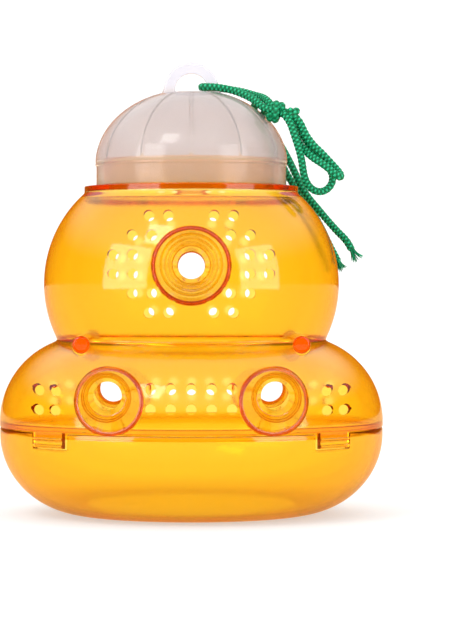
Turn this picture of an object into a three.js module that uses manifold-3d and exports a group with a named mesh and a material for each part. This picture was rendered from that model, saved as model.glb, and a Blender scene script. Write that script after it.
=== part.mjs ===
// A hanging wasp trap: a gourd of clear amber plastic, moulded as a front and a back half,
// with six funnel entries, a bottom tray, a milky push-on cap and a braided cord.
// Millimetres. +Z is up, -Y is the front. The origin is the centre of the base.
import * as THREE from "three";
import { mergeVertices } from "three/addons/utils/BufferGeometryUtils.js";
import Module from "manifold-3d";

const wasm = await Module();
wasm.setup();

// ---- Driving dimensions ----
const GAP = 0.3; // running room between pieces that meet
const WALL = 2; // shell and tray wall
const OUTSIDE = 90; // past every plastic piece, for cutting solids

// ---- Facets ----
const ROUND = 40; // round the gourd, the tray and the cap
const FUNNEL_FACETS = 16;
const VENT_FACETS = 6;
const PIN_FACETS = 16;
const CORD_FACETS = 8;
const SHOULDER_STEPS = 5;
const GLOBE_STEPS = 8;
const TRAY_STEPS = 6;
const DOME_STEPS = 6;
const LOOP_STEPS = 14;

// ---- Plastic pieces ----

// The gourd is two arcs turned about Z, each an arc of this radius about a ring (r, z).
const SHOULDER = { r: 41, z: 35.5, radius: 32.3 };
const GLOBE = { r: 10, z: 88, radius: 46.5 };

const SHELL_FOOT_Z = 33.6; // where the shells end and the tray begins
const SPIGOT = { outer: 70.7, inner: 68.7, bottom: 31.2, top: 35.4 };
const TAB = { from: 39.9, to: 52.4, bottom: 27.9, outer: 73.1, inner: 71.4, root: 0.2 };
const TAB_RIBS = [28.3, 30.7];
const TAB_RIB = { height: 1, proud: 0.5, root: 0.4, short: 0.8 };

const LEDGE_Z = 125.2; // the step that the cap stands on
const NECK = { outer: 34.3, inner: 32.3, top: 135.6 };

const TRAY = { flat: 40.2, outer: 73.2, full: 31, top: 33.2 };
const NOTCH = { from: 38, to: 52.8, bottom: 27.5, inner: 64, outer: 80 };

const CAP = { rim: 125.6, step: 133, base: 134, skirt: 36.4, dome: 36.8, rise: 28.5, wall: 1.6 };
const CAP_TOP = 11.5; // radius of the flat on top of the dome
const LOOP = { centre: 162.4, outer: 10.5, inner: 6.2, foot: 12.2, thick: 3.6, root: 160.6 };
const LOOP_SPRING = Math.asin(0.12); // the angle where the flared feet run into the arch

const CONE = { slope: 0.23, throat: 7.4, step: 0.5, exit: 5.2, wall: 1.5, tube: 10, proud: 0.4 };
const UPPER_ENTRY = { x: 0, z: 95, throat: 30 };
const LOWER_ENTRY = { x: 31, z: 46.5, throat: 47.3 };
const MOUTH = 80; // the cones are turned out past the gourd to here, then trimmed to it
const SEAT_START = 4; // the shell is cut for a cone from this far outside its throat

const PIN = { x: 41, z: 65.2, radius: 3.3, half: 32.5 };

const VENT_RADIUS = 1.9;
const VENT_PITCH = 7.1;
const GLOBE_VENT_ROWS = [
  { up: 3.5, x: 21.4 },
  { up: 10.6, x: 14.4 },
  { up: 17.7, x: 8.3 },
];
const MIDDLE_VENTS = { x: [-14.6, -7.3, 0, 7.3, 14.6], z: [42.9, 49.9] };
const SIDE_VENTS = { x: [49.4, 55.8], z: [41.7, 48.7] };

// ---- Cord ----
const CORD = 3; // diameter
const CORD_STEP = 6.5; // length of a facet
const BIGHT_STEP = 3.8; // finer, where it turns tightly round the loop's leg

// The cord's route as it lies: both strands through the hanging loop, over the dome to two
// knots, a bow of two loops, and two tails behind the cap. Each list is one stretch.
const CORD_ROUTE = {
  cord_bight: [
    [29.2, -8.8, 157.4], [27.2, -4.4, 159.2], [24.0, -0.6, 160.4], [19.5, 2.2, 161.9],
    [14.1, 3.4, 162.9], [9.4, 3.9, 163.4], [5.2, 3.0, 163.5], [3.7, 0, 163.5],
    [5.2, -3.0, 163.4], [9.2, -3.9, 163.2], [14.8, -4.3, 162.2], [20.3, -5.8, 160.1],
    [24.6, -8.4, 157.5], [27.4, -10.9, 154.9],
  ],
  cord_bow_upper: [
    [41.4, -12.8, 148.7], [42.6, -13.1, 145.9], [44.4, -13.3, 142.8], [46.7, -13.5, 140.0],
    [49.3, -13.8, 137.5], [51.9, -14.0, 134.7], [54.2, -14.2, 132.2], [55.9, -14.6, 130.2],
    [56.6, -16.3, 128.6], [55.9, -18.2, 128.1], [54.2, -18.6, 129.1], [51.7, -18.2, 131.5],
    [48.9, -17.2, 133.6], [46.3, -15.6, 135.4], [43.8, -13.2, 137.7], [41.6, -11.2, 140.3],
    [40.0, -10.5, 143.4], [38.9, -10.3, 146.4], [38.3, -10.5, 148.8],
  ],
  cord_bow_lower: [
    [37.6, -14.4, 148.6], [38.0, -14.9, 147.2], [39.1, -15.3, 143.9], [40.3, -15.5, 140.1],
    [41.3, -15.4, 136.7], [42.0, -15.0, 132.9], [42.6, -14.3, 129.2], [43.8, -13.5, 126.0],
    [45.9, -12.8, 123.7], [48.6, -12.0, 122.8], [51.3, -11.4, 123.6], [53.2, -10.8, 125.7],
    [53.8, -10.3, 128.2], [53.1, -9.8, 130.9], [51.0, -9.3, 133.4], [48.6, -8.9, 136.1],
    [46.1, -8.4, 138.9], [44.1, -7.5, 142.0], [42.3, -6.8, 145.3], [41.0, -7.0, 148.6],
  ],
  cord_tail_long: [
    [31.4, -7.4, 154.5], [30.0, -2.0, 155.0], [28.6, 4.0, 154.6], [28.0, 10.0, 153.7],
    [28.6, 15.0, 151.2], [30.4, 17.6, 148.4], [32.4, 17.6, 145.7], [34.4, 17.0, 142.8],
    [36.3, 16.2, 139.4], [38.5, 15.4, 135.2], [40.9, 15.0, 130.0], [42.7, 14.5, 126.1],
    [45.2, 14.0, 122.0], [49.2, 13.0, 117.1], [52.8, 12.0, 112.7], [56.8, 10.0, 108.1],
    [59.9, 8.0, 104.8], [62.1, 7.0, 100.9],
  ],
  cord_tail_short: [
    [28.0, -7.2, 154.8], [26.3, -2.0, 156.5], [24.9, 4.0, 157.2], [24.3, 10.0, 156.4],
    [24.8, 16.0, 153.9], [26.7, 20.1, 150.0], [29.0, 21.6, 145.6], [31.6, 22.0, 141.2],
    [34.5, 22.3, 136.7], [37.3, 23.0, 131.3], [39.9, 23.3, 127.2], [42.7, 24.0, 123.7],
    [46.7, 26.0, 117.9], [50.3, 27.0, 111.6], [53.0, 27.0, 106.1], [54.9, 26.0, 102.1],
    [56.7, 25.0, 98.6], [57.7, 24.0, 96.4],
  ],
};
const KNOTS = {
  cord_knot_first: { at: [32, -12.5, 153.2], half: [3.4, 3.5, 4.1] },
  cord_knot_second: { at: [38.5, -12, 152.9], half: [2.7, 2.9, 2.6] },
};
// The frayed tips go on from the tails, widening.
const TIPS = {
  cord_tip_long: { tail: "cord_tail_long", length: 5, end: 3.2 },
  cord_tip_short: { tail: "cord_tail_short", length: 3, end: 2.4 },
};
const TIP_ROOT = 1.4;

// ---- Materials ----
const amber = () => new THREE.MeshStandardMaterial({
  color: 0xffb01e,
  roughness: 0.08,
  metalness: 0,
  transparent: true,
  opacity: 0.5,
});
const milky = () => new THREE.MeshStandardMaterial({
  color: 0xe6dcd8,
  roughness: 0.35,
  metalness: 0,
  transparent: true,
  opacity: 0.7,
});
const greenBraid = () => new THREE.MeshStandardMaterial({
  color: 0x06854a,
  roughness: 0.75,
  metalness: 0,
});

// ---- Solids ----
function solid(geometry) {
  const bare = geometry.clone();
  bare.deleteAttribute("normal");
  bare.deleteAttribute("uv");
  const merged = mergeVertices(bare, 1e-4);
  return new wasm.Manifold(new wasm.Mesh({
    numProp: 3,
    vertProperties: new Float32Array(merged.attributes.position.array),
    triVerts: new Uint32Array(merged.index.array),
  }));
}

function geometryOf(body) {
  const mesh = body.getMesh();
  const geometry = new THREE.BufferGeometry();
  geometry.setAttribute("position", new THREE.BufferAttribute(mesh.vertProperties, 3));
  geometry.setIndex(new THREE.BufferAttribute(mesh.triVerts, 1));
  return geometry;
}

function all(bodies) {
  return bodies.reduce((sum, body) => sum.add(body));
}

// A closed outline of [radius, height], put the way round that faces it outwards.
function lathe(outline, facets) {
  const points = outline.map(([r, h]) => new THREE.Vector2(r, h));
  if (THREE.ShapeUtils.isClockWise(points)) points.reverse();
  return new THREE.LatheGeometry([...points, points[0]], facets);
}

// An outline of [radius, z] turned about Z.
function turned(outline, facets = ROUND) {
  return lathe(outline, facets).rotateX(Math.PI / 2);
}

// An outline of [radius, y] turned about a line along Y at (x, z).
function turnedAlongY(outline, x, z, facets) {
  return lathe(outline, facets).translate(x, 0, z);
}

function box(low, high) {
  const size = high.map((v, i) => v - low[i]);
  const middle = high.map((v, i) => (v + low[i]) / 2);
  return solid(new THREE.BoxGeometry(...size).translate(...middle));
}

// A stretch of a ring, between two bearings in degrees from the front, turned about Z.
function sector(inner, outer, bottom, top, from, to) {
  const start = THREE.MathUtils.degToRad(from - 90);
  const end = THREE.MathUtils.degToRad(to - 90);
  const shape = new THREE.Shape();
  shape.absarc(0, 0, outer, start, end, false);
  shape.absarc(0, 0, inner, end, start, true);
  const settings = { depth: top - bottom, bevelEnabled: false, curveSegments: 3 };
  return solid(new THREE.ExtrudeGeometry(shape, settings).translate(0, 0, bottom));
}

// The four places of the tabs: the same stretch to the right and left of the front and back.
function fourSectors(inner, outer, bottom, top, from, to) {
  const ranges = [[from, to], [-to, -from], [180 + from, 180 + to], [180 - to, 180 - from]];
  return all(ranges.map(([a, b]) => sector(inner, outer, bottom, top, a, b)));
}

// ---- The gourd's outline ----
function arc(ring, inset, fromZ, toZ, steps) {
  const radius = ring.radius - inset;
  const a = Math.asin((fromZ - ring.z) / radius);
  const b = Math.asin((toZ - ring.z) / radius);
  return Array.from({ length: steps + 1 }, (_, i) => {
    const angle = a + ((b - a) * i) / steps;
    return [ring.r + radius * Math.cos(angle), ring.z + radius * Math.sin(angle)];
  });
}

// The height of the waist, where the two arcs cross on the outside.
function waistHeight(inset) {
  const p = SHOULDER.radius - inset;
  const q = GLOBE.radius - inset;
  const dr = GLOBE.r - SHOULDER.r;
  const dz = GLOBE.z - SHOULDER.z;
  const apart = Math.hypot(dr, dz);
  const along = (p * p - q * q + apart * apart) / (2 * apart);
  const across = Math.sqrt(p * p - along * along);
  return SHOULDER.z + (along * dz - across * dr) / apart;
}

function shellOutline() {
  const waist = waistHeight(0);
  const innerWaist = waistHeight(WALL);
  return [
    ...arc(SHOULDER, 0, SHELL_FOOT_Z, waist, SHOULDER_STEPS).slice(0, -1),
    ...arc(GLOBE, 0, waist, LEDGE_Z, GLOBE_STEPS),
    [NECK.outer, LEDGE_Z],
    [NECK.outer, NECK.top],
    [NECK.inner, NECK.top],
    [NECK.inner, LEDGE_Z - WALL],
    ...arc(GLOBE, WALL, LEDGE_Z - WALL, innerWaist, GLOBE_STEPS),
    ...arc(SHOULDER, WALL, innerWaist, SPIGOT.top, SHOULDER_STEPS).slice(1),
    [SPIGOT.inner, SPIGOT.top],
    [SPIGOT.inner, SPIGOT.bottom],
    [SPIGOT.outer, SPIGOT.bottom],
    [SPIGOT.outer, SHELL_FOOT_Z],
  ];
}

// ---- Entries ----
const entries = [
  { ...UPPER_ENTRY, name: "upper" },
  { ...LOWER_ENTRY, name: "lower_right" },
  { ...LOWER_ENTRY, x: -LOWER_ENTRY.x, name: "lower_left" },
];
// The back is the front turned half round, so a funnel on the right comes out on the left.
const OPPOSITE = { upper: "upper", lower_right: "lower_left", lower_left: "lower_right" };

function coneRadius(entry, depth) {
  return CONE.throat + CONE.slope * (depth - entry.throat);
}

function funnelBlank(entry) {
  const { throat } = entry;
  const end = throat - CONE.tube;
  return [
    [coneRadius(entry, MOUTH), -MOUTH],
    [CONE.throat, -throat],
    [CONE.throat - CONE.step, -throat],
    [CONE.exit, -end],
    [CONE.exit + CONE.wall, -end],
    [CONE.throat + CONE.wall, -throat],
    [coneRadius(entry, MOUTH) + CONE.wall, -MOUTH],
  ];
}

function seat(entry) {
  const room = CONE.wall + GAP;
  const start = entry.throat + SEAT_START;
  return turnedAlongY([
    [0, -start],
    [coneRadius(entry, start) + room, -start],
    [coneRadius(entry, MOUTH) + room, -MOUTH],
    [0, -MOUTH],
  ], entry.x, entry.z, FUNNEL_FACETS);
}

// ---- Holes along Y ----
function boreAlongY(x, z, radius, facets) {
  const geometry = new THREE.CylinderGeometry(radius, radius, MOUTH, facets);
  return solid(geometry.translate(0, -MOUTH / 2, 0).translate(x, 0, z));
}

function ventPlaces() {
  const places = [];
  for (const row of GLOBE_VENT_ROWS)
    for (const x of [row.x, row.x + VENT_PITCH])
      for (const side of [-1, 1])
        for (const up of [-row.up, row.up]) places.push([side * x, UPPER_ENTRY.z + up]);
  for (const z of MIDDLE_VENTS.z) for (const x of MIDDLE_VENTS.x) places.push([x, z]);
  for (const z of SIDE_VENTS.z)
    for (const x of SIDE_VENTS.x) places.push([x, z], [-x, z]);
  return places;
}

// ---- Pieces ----
// The front half of the gourd: half of the turned outline, with its tabs and all its holes.
function frontShell() {
  const whole = solid(turned(shellOutline()));
  const tabTop = SHELL_FOOT_Z + TAB.root;
  const tabs = fourSectors(TAB.inner, TAB.outer, TAB.bottom, tabTop, TAB.from, TAB.to);
  const { height, proud, root, short } = TAB_RIB;
  const ribs = TAB_RIBS.map((z) => fourSectors(
    TAB.outer - root, TAB.outer + proud, z, z + height, TAB.from + short, TAB.to - short,
  ));
  const frontSpace = box([-OUTSIDE, -OUTSIDE, 0], [OUTSIDE, -GAP / 2, 2 * OUTSIDE]);
  const vents = ventPlaces().map(([x, z]) => boreAlongY(x, z, VENT_RADIUS, VENT_FACETS));
  const pins = [-PIN.x, PIN.x].map((x) => boreAlongY(x, PIN.z, PIN.radius + GAP, PIN_FACETS));
  const seats = entries.map((entry) => solid(seat(entry)));
  const body = all([whole, tabs, ...ribs]).intersect(frontSpace);
  return body.subtract(all([...vents, ...pins, ...seats]));
}

// A funnel is trimmed by the gourd's outside, a little proud of it.
function funnel(entry) {
  const blank = solid(turnedAlongY(funnelBlank(entry), entry.x, entry.z, FUNNEL_FACETS));
  const waist = waistHeight(0);
  const outside = solid(turned([
    [0, 0],
    [SHOULDER.r + SHOULDER.radius + CONE.proud, 0],
    ...arc(SHOULDER, -CONE.proud, SHOULDER.z, waist, SHOULDER_STEPS),
    ...arc(GLOBE, -CONE.proud, waist + 1, LEDGE_Z, GLOBE_STEPS),
    [0, LEDGE_Z],
  ]));
  return blank.intersect(outside);
}

function tray() {
  const { flat, outer, full, top } = TRAY;
  const quarter = (inset) => Array.from({ length: TRAY_STEPS + 1 }, (_, i) => {
    const angle = (Math.PI / 2) * (i / TRAY_STEPS);
    const across = (outer - flat - inset) * Math.sin(angle);
    return [flat + across, inset + (full - inset) * (1 - Math.cos(angle))];
  });
  const outline = [
    [0, 0],
    ...quarter(0),
    [outer, top],
    [outer - WALL, top],
    ...quarter(WALL).reverse(),
    [0, WALL],
  ];
  const { inner, bottom, from, to } = NOTCH;
  return solid(turned(outline)).subtract(fourSectors(inner, NOTCH.outer, bottom, OUTSIDE, from, to));
}

function capOutline() {
  const { rim, step, base, skirt, dome, rise, wall } = CAP;
  const ellipse = (inset) => Array.from({ length: DOME_STEPS + 1 }, (_, i) => {
    const angle = Math.acos(CAP_TOP / (dome - inset)) * (i / DOME_STEPS);
    return [(dome - inset) * Math.cos(angle), base + (rise - inset) * Math.sin(angle)];
  });
  const outside = ellipse(0);
  const inside = ellipse(wall).reverse();
  return [
    [skirt - wall, rim],
    [skirt, rim],
    [skirt, step],
    [dome, step],
    ...outside,
    [0, outside.at(-1)[1]],
    [0, inside[0][1]],
    ...inside,
    [skirt - wall, base],
  ];
}

// The hanging loop is an arch on flared feet, standing on the cap's flat top.
function hangingLoop() {
  const { centre, outer, inner, foot, thick, root } = LOOP;
  const shape = new THREE.Shape();
  shape.moveTo(foot, root);
  shape.absarc(0, centre, outer, LOOP_SPRING, Math.PI - LOOP_SPRING, false);
  shape.lineTo(-foot, root);
  shape.lineTo(-inner, root);
  shape.absarc(0, centre, inner, Math.PI, 0, true);
  shape.lineTo(inner, root);
  const settings = { depth: thick, bevelEnabled: false, curveSegments: LOOP_STEPS };
  const geometry = new THREE.ExtrudeGeometry(shape, settings).rotateX(Math.PI / 2);
  return solid(geometry.translate(0, thick / 2, 0));
}

function cap() {
  return solid(turned(capOutline())).add(hangingLoop());
}

function waistPin(x) {
  const geometry = new THREE.CylinderGeometry(PIN.radius, PIN.radius, 2 * PIN.half, PIN_FACETS);
  return geometry.translate(x, 0, PIN.z);
}

// ---- Cord ----
function cordTube(route, step) {
  const path = new THREE.CatmullRomCurve3(route.map((p) => new THREE.Vector3(...p)));
  const round = new THREE.Shape();
  for (let i = 0; i < CORD_FACETS; i++) {
    const angle = (2 * Math.PI * i) / CORD_FACETS;
    const point = [(CORD / 2) * Math.cos(angle), (CORD / 2) * Math.sin(angle)];
    if (i === 0) round.moveTo(...point);
    else round.lineTo(...point);
  }
  const steps = Math.ceil(path.getLength() / step);
  return new THREE.ExtrudeGeometry(round, { steps, extrudePath: path });
}

function knot({ at, half }) {
  return new THREE.SphereGeometry(1, 12, 8).scale(...half).translate(...at);
}

function frayedTip({ tail, length, end }) {
  const route = CORD_ROUTE[tail];
  const last = new THREE.Vector3(...route.at(-1));
  const along = last.clone().sub(new THREE.Vector3(...route.at(-2))).normalize();
  const geometry = new THREE.CylinderGeometry(end, TIP_ROOT, length, CORD_FACETS);
  geometry.translate(0, length / 2 + GAP, 0);
  const turn = new THREE.Quaternion().setFromUnitVectors(new THREE.Vector3(0, 1, 0), along);
  return geometry.applyQuaternion(turn).translate(...last);
}

// ---- The assembly ----
const group = new THREE.Group();

function place(name, geometry, material) {
  const mesh = new THREE.Mesh(geometry, material);
  mesh.name = name;
  group.add(mesh);
  return mesh;
}

const shell = frontShell();
place("front_shell", geometryOf(shell), amber());
place("back_shell", geometryOf(shell.rotate([0, 0, 180])), amber());
place("bottom_tray", geometryOf(tray()), amber());
for (const entry of entries) {
  const front = funnel(entry);
  place(`${entry.name}_front_funnel`, geometryOf(front), amber());
  place(`${OPPOSITE[entry.name]}_back_funnel`, geometryOf(front.rotate([0, 0, 180])), amber());
}
place("right_waist_pin", waistPin(PIN.x), amber());
place("left_waist_pin", waistPin(-PIN.x), amber());
place("cap", geometryOf(cap()), milky());
for (const [name, route] of Object.entries(CORD_ROUTE)) {
  const step = name === "cord_bight" ? BIGHT_STEP : CORD_STEP;
  place(name, cordTube(route, step), greenBraid());
}
for (const [name, size] of Object.entries(KNOTS)) place(name, knot(size), greenBraid());
for (const [name, size] of Object.entries(TIPS)) place(name, frayedTip(size), greenBraid());

export default group;
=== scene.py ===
# %% [markdown]
# # A hanging wasp trap
# The trap is a gourd of clear amber plastic with a milky cap and a green braided cord. Wasps
# crawl in through cone-shaped entries, and cannot find the narrow exits again. The shapes
# that move and fit come from the CAD frame. This script gives them their fine surfaces, their
# plastics and their rope, and it lights them.

import bmesh
import bpy
import numpy as np
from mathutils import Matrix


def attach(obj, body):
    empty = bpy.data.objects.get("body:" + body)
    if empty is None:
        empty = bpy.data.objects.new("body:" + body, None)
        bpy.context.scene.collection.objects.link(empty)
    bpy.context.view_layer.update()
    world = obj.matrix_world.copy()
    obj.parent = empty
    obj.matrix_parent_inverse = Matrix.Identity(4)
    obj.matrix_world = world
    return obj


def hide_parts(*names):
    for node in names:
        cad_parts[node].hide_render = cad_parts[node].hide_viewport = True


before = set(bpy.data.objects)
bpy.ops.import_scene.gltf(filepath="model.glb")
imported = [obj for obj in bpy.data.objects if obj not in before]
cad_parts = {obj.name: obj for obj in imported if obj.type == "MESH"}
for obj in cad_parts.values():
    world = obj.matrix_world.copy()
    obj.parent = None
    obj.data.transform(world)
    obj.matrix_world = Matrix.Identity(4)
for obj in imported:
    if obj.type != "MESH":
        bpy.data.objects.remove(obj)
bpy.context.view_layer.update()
MM = 0.001

# %% [markdown]
# ## The camera
# The trap is seen from straight in front, a metre away, level with the middle of its globe. A
# long lens keeps it free of distortion. The shift slides the picture sideways and down without
# turning the camera, so upright lines stay upright.

# %% Camera
camera_data = bpy.data.cameras.new("camera")
camera_data.lens = 154.4
camera_data.sensor_width = 36
camera_data.shift_x = 0.0627
camera_data.shift_y = -0.0354
camera = bpy.data.objects.new("camera", camera_data)
camera.location = (0.001, -1.024, 0.086)
camera.rotation_euler = (np.pi / 2, 0, 0)
bpy.context.collection.objects.link(camera)
bpy.context.scene.camera = camera

# %% [markdown]
# ## Shader maths as Python
# A material is a small program. Wrapping a socket in a class lets it be written as one: adding
# or multiplying two values makes the Math node that does it.


# %% A socket that can be calculated with
class Value:
    """A shader socket, with arithmetic that adds Math nodes to the same material."""

    def __init__(self, tree, socket):
        self.tree = tree
        self.socket = socket

    def node(self, kind, settings=None, **inputs):
        """A node of this type. Settings come first, and then the values or links of its sockets."""
        made = self.tree.nodes.new("ShaderNode" + kind)
        for name, value in (settings or {}).items():
            setattr(made, name, value)
        for name, value in inputs.items():
            socket = made.inputs[int(name[1:]) if name[1:].isdigit() else name.replace("_", " ")]
            if isinstance(value, Value):
                self.tree.links.new(value.socket, socket)
            else:
                socket.default_value = value
        return made

    def maths(self, operation, *terms):
        inputs = {f"i{number}": term for number, term in enumerate(terms)}
        made = self.node("Math", {"operation": operation}, **inputs)
        return Value(self.tree, made.outputs[0])

    def __add__(self, other):
        return self.maths("ADD", self, other)

    def __sub__(self, other):
        return self.maths("SUBTRACT", self, other)

    def __rsub__(self, other):
        return self.maths("SUBTRACT", other, self)

    def __mul__(self, other):
        return self.maths("MULTIPLY", self, other)

    __radd__ = __add__
    __rmul__ = __mul__

    def clamped(self, low, high):
        """Maps low to 0 and high to 1, with a soft start and end."""
        soft = {"interpolation_type": "SMOOTHSTEP"}
        made = self.node("MapRange", soft, Value=self, From_Min=low, From_Max=high)
        return Value(self.tree, made.outputs[0])

    def colours(self, *stops):
        """A colour ramp: each stop is a place from 0 to 1 and a linear colour."""
        ramp = self.node("ValToRGB", Fac=self)
        elements = ramp.color_ramp.elements
        while len(elements) < len(stops):
            elements.new(0.5)
        for element, (place, colour) in zip(elements, stops):
            element.position = place
            element.color = (*colour, 1)
        return Value(self.tree, ramp.outputs[0])


def new_material(name):
    """An empty node material. It gives back the material, a root value and its output node."""
    material = bpy.data.materials.new(name)
    material.use_nodes = True
    tree = material.node_tree
    tree.nodes.clear()
    output = tree.nodes.new("ShaderNodeOutputMaterial")
    return material, Value(tree, None), output


def noise(root, scale, detail=3.0):
    """Noise from 0 to 1 in the object's own metres, so its scale is in lumps to a metre."""
    place = Value(root.tree, root.node("TexCoord").outputs["Object"])
    made = root.node("TexNoise", Vector=place, Scale=scale, Detail=detail)
    return Value(root.tree, made.outputs["Fac"])


def bumped(root, height, distance):
    """The normal of a surface that a height from 0 to 1 raises by up to a distance in metres."""
    made = root.node("Bump", Height=height, Distance=distance, Strength=1.0)
    return Value(root.tree, made.outputs["Normal"])


# %% [markdown]
# ## Meshes from formulas
# Each shape is a grid of points worked out at once as a numpy array. Neighbours on the grid
# are joined by four-sided faces. Lengths are in millimetres until the mesh is made.


# %% Grids and outlines
def quads(rows, columns, wrap_rows=False, wrap_columns=False):
    """The faces between neighbours of a grid of points, four indices each."""
    i, j = np.meshgrid(
        np.arange(rows if wrap_rows else rows - 1),
        np.arange(columns if wrap_columns else columns - 1),
        indexing="ij",
    )
    i_next, j_next = (i + 1) % rows, (j + 1) % columns
    here, there = i * columns, i_next * columns
    corners = [here + j, there + j, there + j_next, here + j_next]
    return np.stack(corners, axis=-1).reshape(-1, 4)


def softened(outline, size=0.35, steps=3, corner=35):
    """A closed outline whose corners sharper than an angle become small quadratic curves."""
    points = []
    t = np.linspace(0, 1, steps + 1)[:, None]
    neighbours = np.roll(outline, 1, axis=0), outline, np.roll(outline, -1, axis=0)
    for before, here, after in zip(*neighbours):
        back, on = before - here, after - here
        back_length, on_length = np.linalg.norm(back), np.linalg.norm(on)
        turn = np.degrees(np.arccos(np.clip(-back @ on / (back_length * on_length), -1, 1)))
        if turn < corner:
            points.append(here[None])
            continue
        start = here + back * min(size / back_length, 0.45)
        end = here + on * min(size / on_length, 0.45)
        points.append((1 - t) ** 2 * start + 2 * t * (1 - t) * here + t**2 * end)
    return np.concatenate(points)


def turned(outline, bearings):
    """Radius and height turned about Z. Bearing 0 faces the front and 90 degrees the right."""
    radius, height = np.asarray(outline, float).T
    angle = np.radians(bearings)[:, None]
    shape = (len(bearings), len(radius))
    return np.stack([
        radius * np.sin(angle),
        -radius * np.cos(angle),
        np.broadcast_to(height, shape),
    ], axis=-1)


def turned_along_y(outline, x, z, sides=48):
    """Radius and y, turned about the line along Y through x and z."""
    radius, y = np.asarray(outline, float).T
    angle = np.linspace(0, 2 * np.pi, sides, endpoint=False)[:, None]
    return np.stack([
        x + radius * np.cos(angle),
        np.broadcast_to(y, (sides, len(y))),
        z + radius * np.sin(angle),
    ], axis=-1)


def mesh_object(name, points, faces, more_faces=()):
    """A closed mesh in metres from points in millimetres, with its faces pointing outwards."""
    mesh = bpy.data.meshes.new(name)
    flat = np.asarray(points, float).reshape(-1, 3) * MM
    mesh.from_pydata(flat, [], [*np.asarray(faces).tolist(), *[list(f) for f in more_faces]])
    tidy = bmesh.new()
    tidy.from_mesh(mesh)
    bmesh.ops.remove_doubles(tidy, verts=tidy.verts, dist=1e-7)
    bmesh.ops.dissolve_degenerate(tidy, edges=tidy.edges, dist=1e-8)
    bmesh.ops.recalc_face_normals(tidy, faces=tidy.faces)
    tidy.to_mesh(mesh)
    tidy.free()
    made = bpy.data.objects.new(name, mesh)
    bpy.context.collection.objects.link(made)
    return made


def swept(name, grid):
    """A solid from sections along a way. Each row of the grid is a closed section."""
    rows, columns = grid.shape[:2]
    last = (rows - 1) * columns
    ends = [range(columns), range(last, last + columns)]
    return mesh_object(name, grid, quads(rows, columns, wrap_columns=True), ends)


def boolean(target, tool, operation):
    """Joins a tool to a solid, or cuts it out of the solid, and removes the tool."""
    modifier = target.modifiers.new(operation.lower(), "BOOLEAN")
    modifier.operation = operation
    modifier.solver = "MANIFOLD"
    modifier.object = tool
    evaluated = target.evaluated_get(bpy.context.evaluated_depsgraph_get())
    result = bpy.data.meshes.new_from_object(evaluated)
    target.modifiers.clear()
    target.data = result
    bpy.data.objects.remove(tool)


def joined(name, objects):
    """One object from several that don't touch."""
    with bpy.context.temp_override(active_object=objects[0], selected_editable_objects=objects):
        bpy.ops.object.join()
    objects[0].name = name
    return objects[0]


def finish_piece(piece, body, nodes, material, sharp=38):
    """Gives a finished piece its body, its material and smooth shading, and hides the CAD nodes it
    stands in for.
    """
    piece.data.materials.clear()
    piece.data.materials.append(material)
    piece.data.shade_smooth()
    piece.data.set_sharp_from_angle(angle=np.radians(sharp))
    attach(piece, body)
    if nodes:
        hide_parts(*nodes)
    print(f"{piece.name}: {len(piece.data.polygons)} faces")
    return piece


# %% [markdown]
# ## The cord's route
# The cord is one green rope, doubled through the loop on the cap. Both strands run over the
# dome to two knots. From the knots hang a bow of two loops and two tails. The points of each
# stretch are listed, and a smooth curve goes through them.

# %% Route points in millimetres, as in the CAD model
CORD_DIAMETER = 3.0
BIGHT = [
    (29.2, -8.8, 157.4), (27.2, -4.4, 159.2), (24.0, -0.6, 160.4), (19.5, 2.2, 161.9),
    (14.1, 3.4, 162.9), (9.4, 3.9, 163.4), (5.2, 3.0, 163.5), (3.7, 0, 163.5),
    (5.2, -3.0, 163.4), (9.2, -3.9, 163.2), (14.8, -4.3, 162.2), (20.3, -5.8, 160.1),
    (24.6, -8.4, 157.5), (27.4, -10.9, 154.9),
]
BOW_UPPER = [
    (41.4, -12.8, 148.7), (42.6, -13.1, 145.9), (44.4, -13.3, 142.8), (46.7, -13.5, 140.0),
    (49.3, -13.8, 137.5), (51.9, -14.0, 134.7), (54.2, -14.2, 132.2), (55.9, -14.6, 130.2),
    (56.6, -16.3, 128.6), (55.9, -18.2, 128.1), (54.2, -18.6, 129.1), (51.7, -18.2, 131.5),
    (48.9, -17.2, 133.6), (46.3, -15.6, 135.4), (43.8, -13.2, 137.7), (41.6, -11.2, 140.3),
    (40.0, -10.5, 143.4), (38.9, -10.3, 146.4), (38.3, -10.5, 148.8),
]
BOW_LOWER = [
    (37.6, -14.4, 148.6), (38.0, -14.9, 147.2), (39.1, -15.3, 143.9), (40.3, -15.5, 140.1),
    (41.3, -15.4, 136.7), (42.0, -15.0, 132.9), (42.6, -14.3, 129.2), (43.8, -13.5, 126.0),
    (45.9, -12.8, 123.7), (48.6, -12.0, 122.8), (51.3, -11.4, 123.6), (53.2, -10.8, 125.7),
    (53.8, -10.3, 128.2), (53.1, -9.8, 130.9), (51.0, -9.3, 133.4), (48.6, -8.9, 136.1),
    (46.1, -8.4, 138.9), (44.1, -7.5, 142.0), (42.3, -6.8, 145.3), (41.0, -7.0, 148.6),
]
TAIL_LONG = [
    (31.4, -7.4, 154.5), (30.0, -2.0, 155.0), (28.6, 4.0, 154.6), (28.0, 10.0, 153.7),
    (28.6, 15.0, 151.2), (30.4, 17.6, 148.4), (32.4, 17.6, 145.7), (34.4, 17.0, 142.8),
    (36.3, 16.2, 139.4), (38.5, 15.4, 135.2), (40.9, 15.0, 130.0), (42.7, 14.5, 126.1),
    (45.2, 14.0, 122.0), (49.2, 13.0, 117.1), (52.8, 12.0, 112.7), (56.8, 10.0, 108.1),
    (59.9, 8.0, 104.8), (62.1, 7.0, 100.9),
]
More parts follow.
